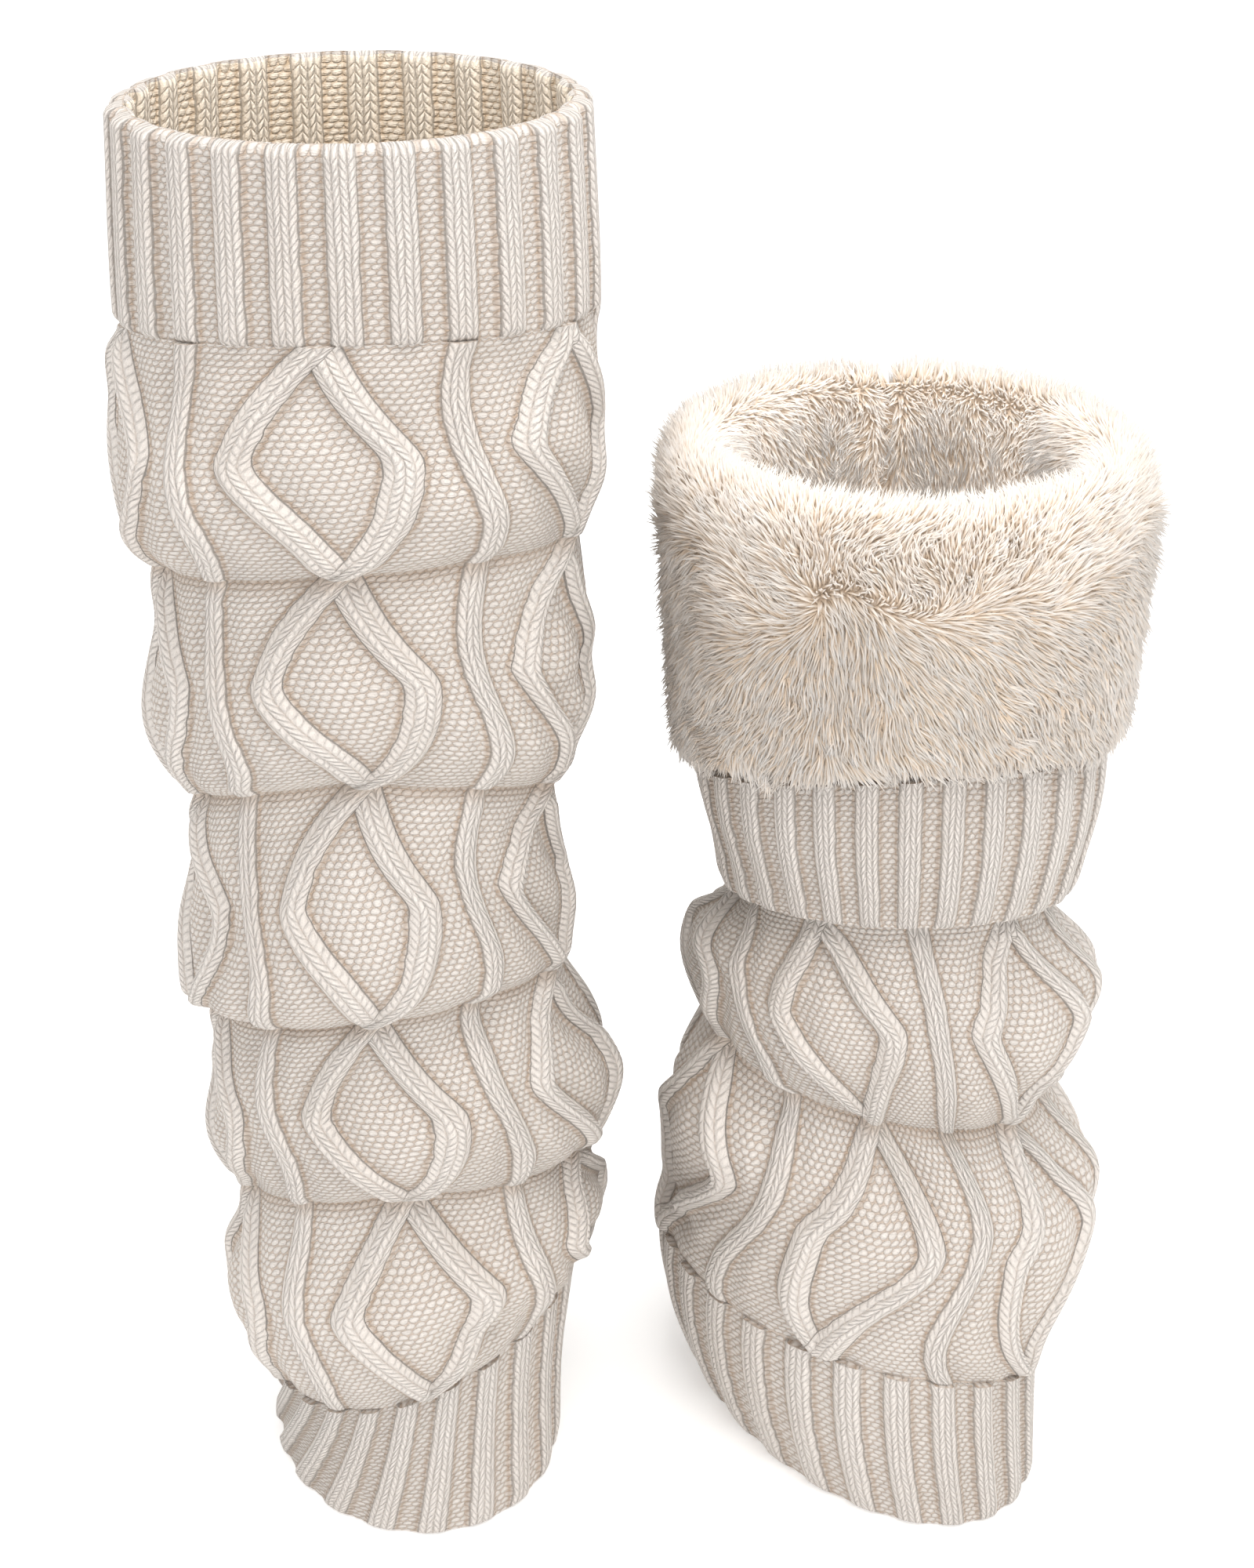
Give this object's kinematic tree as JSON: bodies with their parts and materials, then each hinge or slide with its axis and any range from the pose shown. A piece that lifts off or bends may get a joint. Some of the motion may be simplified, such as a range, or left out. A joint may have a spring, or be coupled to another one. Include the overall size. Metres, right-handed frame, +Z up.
{
  "type": "fleece lined leg warmers",
  "caption": "Cable-knit leg warmers standing filled out, the first pulled up, the other with its top turned down to show thick fleece lining; ribbed cuffs at top and hem.",
  "frame": {"origin": "on the axis of the left leg warmer, inside its top cuff, where the calf holds it up", "axes": "+Z up along both legs, -Y towards the viewer's side, +X from the left leg warmer to the right one"},
  "size_m": [0.268, 0.1468, 0.4048],
  "materials": {
    "left_top_cuff_knit": "soft cream wool rib knit",
    "left_leg_knit": "soft cream wool cable knit",
    "left_hem_cuff_knit": "soft cream wool rib knit",
    "right_fleece_pile": "long cream fleece pile",
    "right_top_cuff_knit": "soft cream wool rib knit",
    "right_leg_knit": "soft cream wool cable knit",
    "right_hem_cuff_knit": "soft cream wool rib knit"
  },
  "bodies": {
    "root": {"left_top_cuff": "left_top_cuff_knit", "left_leg": "left_leg_knit", "left_hem_cuff": "left_hem_cuff_knit", "right_fleece": "right_fleece_pile", "right_top_cuff": "right_top_cuff_knit", "right_leg": "right_leg_knit", "right_hem_cuff": "right_hem_cuff_knit"}
  },
  "joints": []
}
